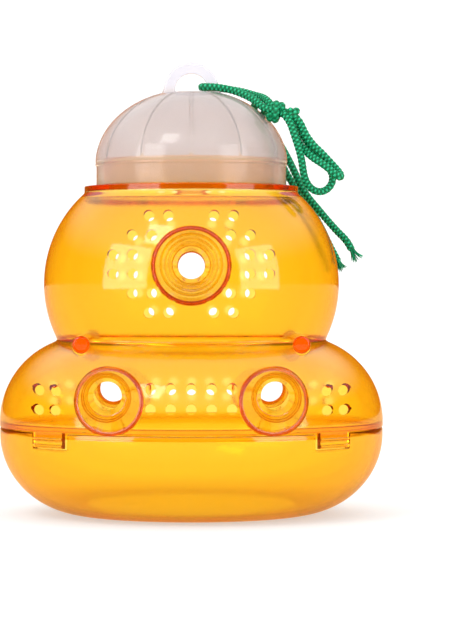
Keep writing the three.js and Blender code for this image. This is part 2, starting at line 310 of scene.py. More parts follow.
TAIL_SHORT = [
    (28.0, -7.2, 154.8), (26.3, -2.0, 156.5), (24.9, 4.0, 157.2), (24.3, 10.0, 156.4),
    (24.8, 16.0, 153.9), (26.7, 20.1, 150.0), (29.0, 21.6, 145.6), (31.6, 22.0, 141.2),
    (34.5, 22.3, 136.7), (37.3, 23.0, 131.3), (39.9, 23.3, 127.2), (42.7, 24.0, 123.7),
    (46.7, 26.0, 117.9), (50.3, 27.0, 111.6), (53.0, 27.0, 106.1), (54.9, 26.0, 102.1),
    (56.7, 25.0, 98.6), (57.7, 24.0, 96.4),
]
TURN = BIGHT.index((3.7, 0, 163.5))
# Each strand goes from the loop into the knots, round its loop of the bow, back through the
# knots and out into its tail. The short lists are the ways through the knots.
FRONT_ROUTE = [
    *BIGHT[TURN:], (31.0, -12.6, 153.6), (35.2, -13.0, 153.2), (39.0, -12.8, 151.6),
    *BOW_UPPER, (37.2, -10.9, 151.6), (34.4, -10.4, 153.6),
    *TAIL_LONG,
]
BACK_ROUTE = [
    *BIGHT[TURN::-1], (31.6, -11.6, 154.6), (35.0, -13.2, 152.4),
    *BOW_LOWER, (39.0, -9.6, 151.4), (34.6, -9.8, 152.6), (30.6, -9.0, 153.8),
    *TAIL_SHORT,
]


# %% The smooth curve through a route
def eased(path, reach=4, passes=3):
    """The path with its sharpest bends rounded by a moving average. Its ends stay put.

    Each point becomes the mean of itself and the points up to reach on both sides. Past an
    end, the path goes on as its own point reflection.
    """
    window = 2 * reach + 1
    for _ in range(passes):
        before = 2 * path[0] - path[reach:0:-1]
        after = 2 * path[-1] - path[-2:-reach - 2:-1]
        sums = np.cumsum(np.vstack([np.zeros(3), before, path, after]), axis=0)
        path = (sums[window:] - sums[:-window]) / window
    return path


def smooth_path(route, step=0.25):
    """Points a fixed step apart along the curve that leaves each point towards the next but one.

    Between two points it is a cubic with the tangent (next - previous) / 2 at each end.
    """
    p = np.array(route, float)
    ahead = np.vstack([p[1:], 2 * p[-1] - p[-2]])
    behind = np.vstack([2 * p[0] - p[1], p[:-1]])
    tangent = (ahead - behind) / 2
    t = np.linspace(0, 1, 40, endpoint=False)[None, :, None]
    a, b = p[:-1, None], p[1:, None]
    ta, tb = tangent[:-1, None], tangent[1:, None]
    fine = (2 * t**3 - 3 * t**2 + 1) * a + (t**3 - 2 * t**2 + t) * ta
    fine = fine + (3 * t**2 - 2 * t**3) * b + (t**3 - t**2) * tb
    fine = np.vstack([fine.reshape(-1, 3), p[-1:]])
    along = np.concatenate([[0], np.cumsum(np.linalg.norm(np.diff(fine, axis=0), axis=1))])
    places = np.linspace(0, along[-1], int(along[-1] / step) + 1)
    return eased(np.stack([np.interp(places, along, fine[:, k]) for k in range(3)], axis=1))


def length_of(path):
    return np.linalg.norm(np.diff(path, axis=0), axis=1).sum()


front_path = smooth_path(FRONT_ROUTE)
back_path = smooth_path(BACK_ROUTE)
print(f"strands of {length_of(front_path):.0f} and {length_of(back_path):.0f} mm")

# %% [markdown]
# ## Braided rope
# The rope is braided from three yarns that wind one way and three that wind the other. Where two
# cross, one lies on top, and the next crossing is the other way round. A flat colour with a
# bump map looks painted on, so the crossings are real hills on the tube's surface. The height
# is kept as an attribute too, and the material reads it: crowns are shinier and carry a
# painted highlight, and the valleys between the yarns carry painted shade.

# %% The braid as a surface
YARNS = 3
BRAID_PITCH = 4.8
YARN_RELIEF = 0.34
YARN_HALF_WIDTH = 0.52  # in yarns, a little over a half, so that neighbours touch
DIVE = 0.55  # how much of its height a yarn loses where it goes under the next
ROUND_THE_ROPE = 40
CUT_END = 0.6  # the length over which a cut end closes


def braid_height(angle, along):
    """How high the braid stands, from 0 in the gaps to 1 on a yarn's crown.

    Each place lies on one yarn of each winding. The crossing's parity picks the upper one, and
    its height falls off across the yarn and dips where it dives under the next.
    """
    turn = angle / (2 * np.pi)
    one = YARNS * (turn + along / BRAID_PITCH)
    other = YARNS * (turn - along / BRAID_PITCH)
    one_upper = (np.floor(one) + np.floor(other)) % 2 == 0
    across_one, across_other = one % 1 - 0.5, other % 1 - 0.5
    across = np.where(one_upper, across_one, across_other)
    lengthwise = np.where(one_upper, across_other, across_one)
    rounded = np.sqrt(np.clip(1 - (across / YARN_HALF_WIDTH) ** 2, 0, 1))
    return rounded * (1 - DIVE + DIVE * np.cos(np.pi * lengthwise))


def sections(path):
    """Two unit vectors across the path at each point, turned along it without a twist."""
    tangent = np.gradient(path, axis=0)
    tangent /= np.linalg.norm(tangent, axis=1)[:, None]
    side = np.cross(tangent[0], (0.3, 0.2, 0.9))
    sides = []
    for t in tangent:
        side = side - (side @ t) * t
        side = side / np.linalg.norm(side)
        sides.append(side)
    sides = np.array(sides)
    return sides, np.cross(tangent, sides)


def braided(name, path, diameter=CORD_DIAMETER):
    """A braided rope along a path, closed at both ends, with its height kept as an attribute."""
    angle = np.linspace(0, 2 * np.pi, ROUND_THE_ROPE, endpoint=False)[None, :]
    along = np.linspace(0, length_of(path), len(path))[:, None]
    height = braid_height(angle, along)
    inset = np.minimum(1, np.minimum(along, along[::-1]) / CUT_END) ** 0.5
    radius = (diameter / 2 - YARN_RELIEF * (1 - height)) * (0.3 + 0.7 * inset)
    side, up = sections(path)
    out = np.cos(angle)[..., None] * side[:, None] + np.sin(angle)[..., None] * up[:, None]
    grid = path[:, None] + radius[..., None] * out
    rope = swept(name, grid)
    # This height also paints a highlight on the crowns and shade in the gaps of the rope's colour.
    crown = rope.data.attributes.new("crown", "FLOAT", "POINT")
    crown.data.foreach_set("value", height.ravel().astype(np.float32))
    return rope


# %% [markdown]
# ## Knots and frayed ends
# A knot is the same rope wound round both strands, so each one is a short coil of the braid.
# The cut ends have come undone: the yarns splay into three bunches of fine fibres.


# %% Coils for the knots
def coil(middle, reach, width, turns, start):
    """A coil about X: a spread along X, and half widths across Y and Z, in millimetres."""
    t = np.linspace(0, 1, 60)
    angle = np.radians(start) + 2 * np.pi * turns * t
    return np.array(middle) + np.stack([
        reach * (2 * t - 1),
        width[0] * np.cos(angle),
        width[1] * np.sin(angle),
    ], axis=1)


def leant(path, middle, lean):
    """A path turned about the line along Y through a middle, by an angle in degrees."""
    a = np.radians(lean)
    off = path - np.array(middle)
    x = off[:, 0] * np.cos(a) + off[:, 2] * np.sin(a)
    z = off[:, 2] * np.cos(a) - off[:, 0] * np.sin(a)
    return np.array(middle) + np.stack([x, off[:, 1], z], axis=1)


FIRST_KNOT = (32.0, -12.3, 153.2)
SECOND_KNOT = (38.6, -12.0, 152.6)
first_wrap = leant(coil(FIRST_KNOT, 1.9, (2.4, 2.9), 1.9, 200), FIRST_KNOT, 15)
second_wrap = leant(coil(SECOND_KNOT, 1.5, (1.8, 1.6), 1.6, 150), SECOND_KNOT, 50)

# %% Frayed ends
PRONGS = 3
FIBRES = 16
FIBRE_RADIUS = 0.2
FIBRE_ROOT = 0.8  # how far a fibre starts inside the rope
FIBRE_STEPS = 8
FIBRE_SIDES = 5


def frayed(name, path, length, spread, seed):
    """Fibres that go on from a path's end in three bunches, each a thin closed tube.

    A fibre starts inside the rope and leans outwards by the square of the way along it.
    """
    random = np.random.default_rng(seed)
    side, up = sections(path)
    end = path[-1]
    ahead = path[-1] - path[-3]
    ahead /= np.linalg.norm(ahead)
    count = PRONGS * FIBRES
    bunch = 2 * np.pi * (np.arange(count) % PRONGS) / PRONGS + seed
    angle = bunch + random.normal(0, 0.45, count)
    start = random.uniform(0.2, 1.1, count)
    lean = spread * random.uniform(0.55, 1.0, count)
    reach = length * random.uniform(0.75, 1.0, count)
    t = np.linspace(0, 1, FIBRE_STEPS)
    out = np.cos(angle)[:, None] * side[-1] + np.sin(angle)[:, None] * up[-1]
    middle = end + (reach[:, None] * t - FIBRE_ROOT)[..., None] * ahead
    spray = start[:, None] * (1 - 0.3 * t) + lean[:, None] * t**2
    middle = middle + spray[..., None] * out[:, None]
    thick = FIBRE_RADIUS * (1 - 0.6 * t)
    ring = np.linspace(0, 2 * np.pi, FIBRE_SIDES, endpoint=False)
    section = np.cos(ring)[:, None] * side[-1] + np.sin(ring)[:, None] * up[-1]
    grid = middle[:, :, None] + thick[:, None, None] * section
    one = quads(FIBRE_STEPS, FIBRE_SIDES, wrap_columns=True)
    each = FIBRE_STEPS * FIBRE_SIDES
    faces = (one[None] + each * np.arange(count)[:, None, None]).reshape(-1, 4)
    ends = [range(k * each, k * each + FIBRE_SIDES) for k in range(count)]
    tips = [range((k + 1) * each - FIBRE_SIDES, (k + 1) * each) for k in range(count)]
    tuft = mesh_object(name, grid, faces, [*ends, *tips])
    crown = tuft.data.attributes.new("crown", "FLOAT", "POINT")
    shade = np.repeat(random.uniform(0.35, 1.0, count), each)
    crown.data.foreach_set("value", shade.astype(np.float32))
    return tuft


# %% [markdown]
# ## Green rope
# Polypropylene yarn is glossy where it is drawn tight. Its colour carries a painted mint
# highlight on each crown and painted shade, almost black, in each gap.


# %% The rope's material
def green_rope():
    material, root, output = new_material("green_rope")
    crown = Value(root.tree, root.node("Attribute", {"attribute_name": "crown"}).outputs["Fac"])
    fibre = noise(root, 2600)
    shade = crown * 0.9 + fibre * 0.2 - 0.06
    # The ramp paints shade into the gaps and a mint highlight onto the crowns; the fibre noise adds
    # random tone.
    colour = shade.colours(
        (0.0, (0.0, 0.02, 0.006)), (0.45, (0.0, 0.13, 0.045)),
        (0.75, (0.0, 0.34, 0.14)), (1.0, (0.06, 0.78, 0.42)),
    )
    surface = root.node(
        "BsdfPrincipled", Base_Color=colour, Roughness=0.65 - crown * 0.2,
        Specular_IOR_Level=0.2, Normal=bumped(root, fibre, 0.00006),
    )
    root.tree.links.new(surface.outputs[0], output.inputs["Surface"])
    return material


rope_material = green_rope()

# %% Make the cords, the knots and the frayed ends
front_tip = frayed("cord_tip_long_fibres", front_path, 5.4, 2.2, 3)
back_tip = frayed("cord_tip_short_fibres", back_path, 4.2, 1.8, 8)
first_knot = braided("cord_knot_first_coil", first_wrap)
second_knot = braided("cord_knot_second_coil", second_wrap, 2.8)
finish_piece(front_tip, "cap", ["cord_tip_long"], rope_material)
finish_piece(back_tip, "cap", ["cord_tip_short"], rope_material)
finish_piece(first_knot, "cap", ["cord_knot_first"], rope_material)
finish_piece(second_knot, "cap", ["cord_knot_second"], rope_material)

front_strand = braided("cord_front_strand", front_path)
back_strand = braided("cord_back_strand", back_path)
front_nodes = ["cord_bight", "cord_bow_upper", "cord_tail_long"]
back_nodes = ["cord_bow_lower", "cord_tail_short"]
finish_piece(front_strand, "cap", front_nodes, rope_material)
finish_piece(back_strand, "cap", back_nodes, rope_material)

for strand, path, pieces in (
    (front_strand, front_path, [first_knot, second_knot, front_tip]),
    (back_strand, back_path, [back_tip]),
):
    path * MM

# %% [markdown]
# ## The gourd's outline
# Two arcs turned about the upright axis make the gourd: a fat shoulder below and a globe
# above. They meet at the waist. A soft maximum of the two radii rounds the crease there, as a
# mould would.

# %% Driving dimensions in millimetres
WALL = 2.0
SHOULDER = {"r": 41, "z": 35.5, "radius": 32.3}
GLOBE = {"r": 10, "z": 88, "radius": 46.5}
CREASE = 1.6  # how far the soft maximum fills the waist's crease
CREASE_REACH = 9.0  # how far above and below the waist it works
SHELL_FOOT_Z = 33.6
SPIGOT = {"outer": 70.7, "inner": 68.7, "bottom": 31.2, "top": 35.4}
TAB = {"from": 39.9, "to": 52.4, "bottom": 27.9, "outer": 73.1, "inner": 71.4}
TAB_RIBS = (28.3, 30.7)
TAB_RIB = {"height": 1.0, "proud": 0.5}
LEDGE_Z = 125.2
NECK = {"outer": 34.3, "inner": 32.3, "top": 135.6}
GAP = 0.3


# %% Radius at a height
def arc_radius(ring, inset, height):
    """The radius of a circle's outer side at a height, and the circle's middle past its ends."""
    reach = ring["radius"] - inset
    across = np.sqrt(np.clip(reach**2 - (height - ring["z"]) ** 2, 0, None))
    return ring["r"] + across


def waist_height(inset):
    """The height where the two circles cross on the outside."""
    p, q = SHOULDER["radius"] - inset, GLOBE["radius"] - inset
    dr, dz = GLOBE["r"] - SHOULDER["r"], GLOBE["z"] - SHOULDER["z"]
    apart = np.hypot(dr, dz)
    along = (p**2 - q**2 + apart**2) / (2 * apart)
    across = np.sqrt(p**2 - along**2)
    return SHOULDER["z"] + (along * dz - across * dr) / apart


def gourd_radius(height, inset=0.0):
    """The gourd's radius at a height: the soft maximum of the shoulder and the globe.

    The soft maximum of a and b is half of a + b + the root of (a - b) squared + crease squared.
    """
    height = np.asarray(height, float)
    a, b = arc_radius(SHOULDER, inset, height), arc_radius(GLOBE, inset, height)
    soft = (a + b + np.sqrt((a - b) ** 2 + CREASE**2)) / 2
    near = np.clip(1 - np.abs(height - waist_height(inset)) / CREASE_REACH, 0, 1)
    return np.where(near > 0, soft * near + np.maximum(a, b) * (1 - near), np.maximum(a, b))


def arc_heights(ring, inset, low, high, steps):
    """Heights that step evenly in angle round a circle."""
    reach = ring["radius"] - inset
    a, b = np.arcsin((low - ring["z"]) / reach), np.arcsin((high - ring["z"]) / reach)
    return ring["z"] + reach * np.sin(np.linspace(a, b, steps + 1))


SHOULDER_STEPS = 44
GLOBE_STEPS = 64
CREASE_HALF = 1.2  # the finest heights are this near the waist
CREASE_STEPS = 10


def gourd_side(inset, low, high):
    """Radius and height up one side of the gourd's wall, finer at the waist."""
    waist = waist_height(inset)
    below = arc_heights(SHOULDER, inset, low, waist, SHOULDER_STEPS)
    above = arc_heights(GLOBE, inset, waist, high, GLOBE_STEPS)
    crease = np.linspace(waist - CREASE_HALF, waist + CREASE_HALF, CREASE_STEPS + 1)
    heights = np.unique(np.round(np.concatenate([below, above, crease]), 3))
    return np.stack([gourd_radius(heights, inset), heights], axis=1)


shell_outline = softened(np.vstack([
    gourd_side(0, SHELL_FOOT_Z, LEDGE_Z),
    [(NECK["outer"], LEDGE_Z), (NECK["outer"], NECK["top"]), (NECK["inner"], NECK["top"])],
    [(NECK["inner"], LEDGE_Z - WALL)],
    gourd_side(WALL, SPIGOT["top"], LEDGE_Z - WALL)[::-1],
    [(SPIGOT["inner"], SPIGOT["top"]), (SPIGOT["inner"], SPIGOT["bottom"])],
    [(SPIGOT["outer"], SPIGOT["bottom"]), (SPIGOT["outer"], SHELL_FOOT_Z)],
]))
print("shell outline:", len(shell_outline), "points")

# %% [markdown]
# ## Entries and vents
# Six funnels let the wasps in, three in front and three behind. Rows of small round holes let
# the smell of the bait out. All of them run straight from front to back, the way a mould's
# side cores pull, so each is cut along Y.

# %% Where the holes are
CONE = {"slope": 0.23, "throat": 7.4, "step": 0.5, "exit": 5.2, "wall": 1.5, "tube": 10}
UPPER_ENTRY = {"x": 0, "z": 95, "throat": 30}
LOWER_ENTRY = {"x": 31, "z": 46.5, "throat": 47.3}
ENTRIES = {
    "upper": UPPER_ENTRY,
    "lower_right": LOWER_ENTRY,
    "lower_left": {**LOWER_ENTRY, "x": -LOWER_ENTRY["x"]},
}
PIN = {"x": 41, "z": 65.2, "radius": 3.3, "half": 32.5}
VENT_RADIUS = 1.9
VENT_PITCH = 7.1
GLOBE_VENT_ROWS = ((3.5, 21.4), (10.6, 14.4), (17.7, 8.3))
MIDDLE_VENTS = {"x": (-14.6, -7.3, 0, 7.3, 14.6), "z": (42.9, 49.9)}
SIDE_VENTS = {"x": (49.4, 55.8), "z": (41.7, 48.7)}
OUTSIDE = 80.0  # past the gourd's widest place


def vent_places():
    """The x and z of every vent in one half."""
    globe = [
        (side * (x + shift), UPPER_ENTRY["z"] + level * up)
        for up, x in GLOBE_VENT_ROWS
        for shift in (0, VENT_PITCH) for side in (-1, 1) for level in (-1, 1)
    ]
    middle = [(x, z) for x in MIDDLE_VENTS["x"] for z in MIDDLE_VENTS["z"]]
    outer = [(side * x, z) for x in SIDE_VENTS["x"] for z in SIDE_VENTS["z"] for side in (-1, 1)]
    return globe + middle + outer


def cone_radius(entry, depth):
    """The funnel's inner radius at a distance in front of the trap's middle."""
    return CONE["throat"] + CONE["slope"] * (depth - entry["throat"])


def bore(x, z, radius):
    return turned_along_y([(0, -8), (radius, -8), (radius, -OUTSIDE), (0, -OUTSIDE)], x, z)


def seat(entry):
    """The cone cut out of the shell for a funnel, a gap wider than the funnel."""
    room = CONE["wall"] + GAP
    near = entry["throat"] + 4
    return turned_along_y([
        (0, -near), (cone_radius(entry, near) + room, -near),
        (cone_radius(entry, OUTSIDE) + room, -OUTSIDE), (0, -OUTSIDE),
    ], entry["x"], entry["z"], 96)


# %% The front half of the gourd
def half_turned(name, outline, from_bearing, to_bearing, steps):
    """A solid turned through part of a circle, kept clear of the seam between the halves."""
    grid = turned(outline, np.linspace(from_bearing, to_bearing, steps + 1))
    grid[..., 1] = np.minimum(grid[..., 1], -GAP / 2)
    return swept(name, grid)


tab_ribs = [
    [(TAB["outer"], z), (TAB["outer"] + TAB_RIB["proud"], z + 0.25),
     (TAB["outer"] + TAB_RIB["proud"], z + 0.75), (TAB["outer"], z + TAB_RIB["height"])]
    for z in TAB_RIBS
]
tab_outline = softened(np.vstack([
    [(TAB["inner"], TAB["bottom"]), (TAB["outer"], TAB["bottom"])],
    *tab_ribs,
    [(TAB["outer"], SHELL_FOOT_Z + 0.6), (TAB["inner"], SHELL_FOOT_Z + 0.6)],
]), 0.15)


SHELL_STEPS = 168
TAB_STEPS = 12


def shell_half(name):
    """Half of the turned outline, with its two tabs, and with all its holes cut at once."""
    shell = half_turned(name, shell_outline, -90, 90, SHELL_STEPS)
    for side in (-1, 1):
        tab = half_turned("tab", tab_outline, side * TAB["from"], side * TAB["to"], TAB_STEPS)
        boolean(shell, tab, "UNION")
    holes = [bore(x, z, VENT_RADIUS) for x, z in vent_places()]
    holes += [bore(side * PIN["x"], PIN["z"], PIN["radius"] + GAP) for side in (-1, 1)]
    holes += [seat(entry) for entry in ENTRIES.values()]
    cutters = [
        mesh_object(f"hole_{i}", grid, quads(*grid.shape[:2], wrap_rows=True))
        for i, grid in enumerate(holes)
    ]
    boolean(shell, joined("holes", cutters), "DIFFERENCE")
    return shell


def turned_about(piece, name):
    """A copy of a piece turned half round the upright axis, with its place in its mesh."""
    mesh = piece.data.copy()
    points = np.zeros(len(mesh.vertices) * 3, np.float32)
    mesh.vertices.foreach_get("co", points)
    points = points.reshape(-1, 3) * (-1, -1, 1)
    mesh.vertices.foreach_set("co", points.astype(np.float32).ravel())
    mesh.update()
    copy = bpy.data.objects.new(name, mesh)
    bpy.context.collection.objects.link(copy)
    return copy


front_shell = shell_half("front_shell_moulding")
back_shell = turned_about(front_shell, "back_shell_moulding")


# %% [markdown]
# ## Funnels
# A funnel is a thin cone with a short tube at its inner end. Its mouth follows the gourd, so
# each line down the cone ends at its own depth. That depth is found by trying it again and
# again: the cone's radius there gives a place, the gourd's surface at that place gives a better
# depth, and a few rounds settle it.


# %% Funnel surfaces
def surface_depth(x, z):
    """How far in front of the middle the gourd's surface is at a place seen from the front."""
    return np.sqrt(gourd_radius(z) ** 2 - x**2)


def mouth_depth(entry, angle, extra, proud):
    """The depth at which the cone's line at an angle meets the gourd's surface."""
    depth = np.full_like(angle, entry["throat"] + 15.0)
    for _ in range(30):
        radius = cone_radius(entry, depth) + extra
        x, z = entry["x"] + radius * np.cos(angle), entry["z"] + radius * np.sin(angle)
        depth = surface_depth(x, z) + proud
    return depth


ROUND_THE_FUNNEL = 120
RINGS = 3
RING_STEPS = 8
RING_DEPTH = 0.3
PLAIN_DEPTH = 1.0  # the plain band inside the mouth's nearest point
RINGS_START = 1.3


def funnel(name, entry):
    """A ring of closed sections: down the inside, through the tube, back up and over the rim.

    Inside are shallow moulded grooves. Their depth goes as the square of a sine, so that each
    starts and ends smoothly.
    """
    angle = np.linspace(0, 2 * np.pi, ROUND_THE_FUNNEL, endpoint=False)
    throat, wall, end = entry["throat"], CONE["wall"], entry["throat"] - CONE["tube"]
    inner = mouth_depth(entry, angle, 0.25, 0.35)
    face = inner.min()
    outer = mouth_depth(entry, angle, wall, -0.1)
    stretches = []
    for t in np.linspace(0, 1, 14):
        depth = inner * (1 - t) + (face - PLAIN_DEPTH) * t
        stretches.append((cone_radius(entry, depth), depth))
    start = face - RINGS_START
    for depth in np.linspace(start, throat, RINGS * RING_STEPS + 1):
        groove = RING_DEPTH * np.sin(np.pi * RINGS * (start - depth) / (start - throat)) ** 2
        ring = cone_radius(entry, depth) + groove
        stretches.append((np.full_like(angle, ring), np.full_like(angle, depth)))
    for radius, depth in (
        (CONE["throat"] - 0.1, throat - 0.3), (CONE["throat"] - CONE["step"], throat - 0.5),
        (CONE["exit"] + 0.05, end + 0.4), (CONE["exit"] + 0.3, end),
        (CONE["exit"] + wall - 0.3, end), (CONE["exit"] + wall, end + 0.35),
        (CONE["throat"] + wall, throat),
    ):
        stretches.append((np.full_like(angle, radius), np.full_like(angle, depth)))
    for t in np.linspace(0.1, 1, 10):
        depth = outer * t + throat * (1 - t)
        stretches.append((cone_radius(entry, depth) + wall, depth))
    for t in np.linspace(0.15, 0.85, 5):
        depth = outer * (1 - t) + inner * t + 0.35 * np.sin(np.pi * t)
        stretches.append((cone_radius(entry, depth) + wall * (1 - t), depth))
    radius, depth = (np.stack(parts, axis=1) for parts in zip(*stretches))
    grid = np.stack([
        entry["x"] + radius * np.cos(angle)[:, None],
        -depth,
        entry["z"] + radius * np.sin(angle)[:, None],
    ], axis=-1)
    return mesh_object(name, grid, quads(*grid.shape[:2], wrap_rows=True, wrap_columns=True))


OPPOSITE = {"upper": "upper", "lower_right": "lower_left", "lower_left": "lower_right"}
funnels = {}
for place, entry in ENTRIES.items():
    made = funnel(f"{place}_front_funnel_cone", entry)
    behind = OPPOSITE[place]
    funnels[f"{place}_front_funnel"] = made
    funnels[f"{behind}_back_funnel"] = turned_about(made, f"{behind}_back_funnel_cone")

# %% [markdown]
# ## The tray
# The tray is a shallow bowl with a flat base and a wall that curves up as a quarter of an
# ellipse. Four open-topped notches in its rim take the shell's tabs. The grid has a column on
# each side of a notch's edge at the same bearing: one keeps the full height, and the other
# stops at the notch's floor, so the faces between them are the notch's end wall.

# %% Tray surface
TRAY = {"flat": 40.2, "outer": 73.2, "full": 31.0, "top": 33.2}
NOTCH = {"from": 38.0, "to": 52.8, "bottom": 27.5}


def tray_outline(top):
    """Radius and height from the middle of the base, up to a rim at this height, and back."""
    flat, reach, full = TRAY["flat"], TRAY["outer"] - TRAY["flat"], TRAY["full"]
    quarter = np.linspace(0, np.pi / 2, 40)
    outside = np.stack([flat + reach * np.sin(quarter), full * (1 - np.cos(quarter))], axis=1)
    inside = np.stack([
        flat + (reach - WALL) * np.sin(quarter), WALL + (full - WALL) * (1 - np.cos(quarter)),
    ], axis=1)
    rim = [
        (TRAY["outer"], TRAY["top"] - 0.5), (TRAY["outer"] - 0.15, TRAY["top"] - 0.15),
        (TRAY["outer"] - 0.5, TRAY["top"]), (TRAY["outer"] - WALL + 0.5, TRAY["top"]),
        (TRAY["outer"] - WALL + 0.15, TRAY["top"] - 0.15),
        (TRAY["outer"] - WALL, TRAY["top"] - 0.5),
    ]
    base = np.linspace(0, 1, 6)[:-1, None] * (flat, 0)
    outline = np.vstack([base, outside, rim, inside[::-1], base[::-1] + (0, WALL)])
    outline[:, 1] = np.minimum(outline[:, 1], top)
    return outline


def tray(name):
    """The outline turned all the way round, cut down to a notch's floor inside each notch."""
    edges = [side + turn for turn in (0, 180) for side in (
        NOTCH["from"], NOTCH["to"], -NOTCH["to"], -NOTCH["from"])]
    edges = np.sort(np.mod(edges, 360))
    bearings, tops = [], []
    for k, (start, end) in enumerate(zip(edges, np.append(edges[1:], edges[0] + 360))):
        steps = max(4, int((end - start) / 1.6))
        stretch = np.linspace(start, end, steps + 1)
        bearings.append(stretch)
        in_notch = k % 2 == 0
        tops.append(np.full(len(stretch), NOTCH["bottom"] if in_notch else TRAY["top"]))
    bearings, tops = np.concatenate(bearings), np.concatenate(tops)
    full, cut = tray_outline(TRAY["top"]), tray_outline(NOTCH["bottom"])
    outlines = np.where((tops < TRAY["top"])[:, None, None], cut, full)
    angle = np.radians(bearings)[:, None]
    grid = np.stack([
        outlines[..., 0] * np.sin(angle), -outlines[..., 0] * np.cos(angle), outlines[..., 1],
    ], axis=-1)
    return mesh_object(name, grid, quads(*grid.shape[:2], wrap_rows=True))


bottom_tray = tray("bottom_tray_moulding")


# %% Waist pins
def waist_pin(name, x):
    """A pin with rounded ends, lying along Y."""
    r, half = PIN["radius"], PIN["half"]
    bend = np.linspace(0, np.pi / 2, 7)
    end = np.stack([r - 1 + np.sin(bend), -half + 1 - np.cos(bend)], axis=1)
    outline = np.vstack([[(0, -half)], end, end[::-1] * (1, -1), [(0, half)]])
    grid = turned_along_y(outline, x, PIN["z"])
    return mesh_object(name, grid, quads(*grid.shape[:2], wrap_rows=True))


right_pin = waist_pin("right_waist_pin_rod", PIN["x"])
left_pin = waist_pin("left_waist_pin_rod", -PIN["x"])

# %% [markdown]
# ## Clear amber plastic
# The colour of a clear plastic comes from its thickness: light that goes further through it
# loses more blue and green. So the surface is clear, and the volume takes the colour away. One
# wall is then golden, two are orange, and an edge seen end-on is deep red-brown. A slow
# waviness in the surface is what a cooling moulding keeps.

# %% Amber
WAVES = 38  # lumps to a metre in the surface
CLOUDS = 160  # lumps to a metre in the haze
AMBER_TINT = (1, 0.985, 0.66, 1)
AMBER_COLOUR = (0.992, 0.832, 0.0, 1)
FUNNEL_TINT = (1, 0.74, 0.22, 1)
FUNNEL_COLOUR = (0.98, 0.885, 0.0, 1)
ORANGE_COLOUR = (1.0, 0.86, 0.0, 1)


def amber(name, density, tint=AMBER_TINT, colour=AMBER_COLOUR, wave=0.00012):
    """Clear plastic. Density is how fast its depth colours light, and wave is in metres."""
    material, root, output = new_material(name)
    waviness = noise(root, WAVES, 1.0)
    haze = noise(root, CLOUDS, 2.0)
    surface = root.node(
        "BsdfPrincipled", Base_Color=tint, Roughness=haze * 0.06 + 0.05, IOR=1.5,
        Transmission_Weight=1.0, Normal=bumped(root, waviness, wave),
    )
    volume = root.node("VolumeAbsorption", Density=density, Color=colour)
    root.tree.links.new(surface.outputs[0], output.inputs["Surface"])
    root.tree.links.new(volume.outputs[0], output.inputs["Volume"])
    return material


amber_material = amber("clear_amber", 880.0)
funnel_material = amber("clear_deep_amber", 520.0, FUNNEL_TINT, FUNNEL_COLOUR, 0.00004)
pin_material = amber("clear_orange", 250.0, colour=ORANGE_COLOUR)
finish_piece(front_shell, "gourd", ["front_shell"], amber_material)
finish_piece(back_shell, "gourd", ["back_shell"], amber_material)
finish_piece(bottom_tray, "tray", ["bottom_tray"], amber_material)
finish_piece(right_pin, "gourd", ["right_waist_pin"], pin_material)
finish_piece(left_pin, "gourd", ["left_waist_pin"], pin_material)
for node, piece in funnels.items():
    finish_piece(piece, "gourd", [node], funnel_material)

# %% [markdown]
# ## The cap
# The cap is a dome of milky plastic on a short skirt, with twelve shallow flutes from its top
# ring down to the skirt. A flute is a narrow band pressed in by a fraction of a millimetre, and
# its two edges show as a double line. Columns of the grid crowd together at each flute so that
# those edges are crisp.

# %% Cap surface
CAP = {
    "rim": 125.6, "step": 133.0, "base": 134.0, "skirt": 36.4, "dome": 36.8, "rise": 28.5,
    "wall": 1.6,
}
CAP_TOP = 11.5
FLUTES = 12
FLUTE = {"half": 0.62, "edge": 0.14, "depth": 0.5, "low": 135.6, "fade": 1.0}
FLUTE_COLUMNS = np.array(
    [-0.95, -0.78, -0.7, -0.62, -0.54, -0.46, 0, 0.46, 0.54, 0.62, 0.7, 0.78, 0.95]
)
PLAIN_COLUMNS = 7


def smoothstep(low, high, value):
    t = np.clip((value - low) / (high - low), 0, 1)
    return t * t * (3 - 2 * t)


def dome(a, b, steps):
    """Radius and height up an ellipse to the flat on top."""
    angle = np.linspace(0, np.arccos(CAP_TOP / a), steps)
    return np.stack([a * np.cos(angle), CAP["base"] + b * np.sin(angle)], axis=1)


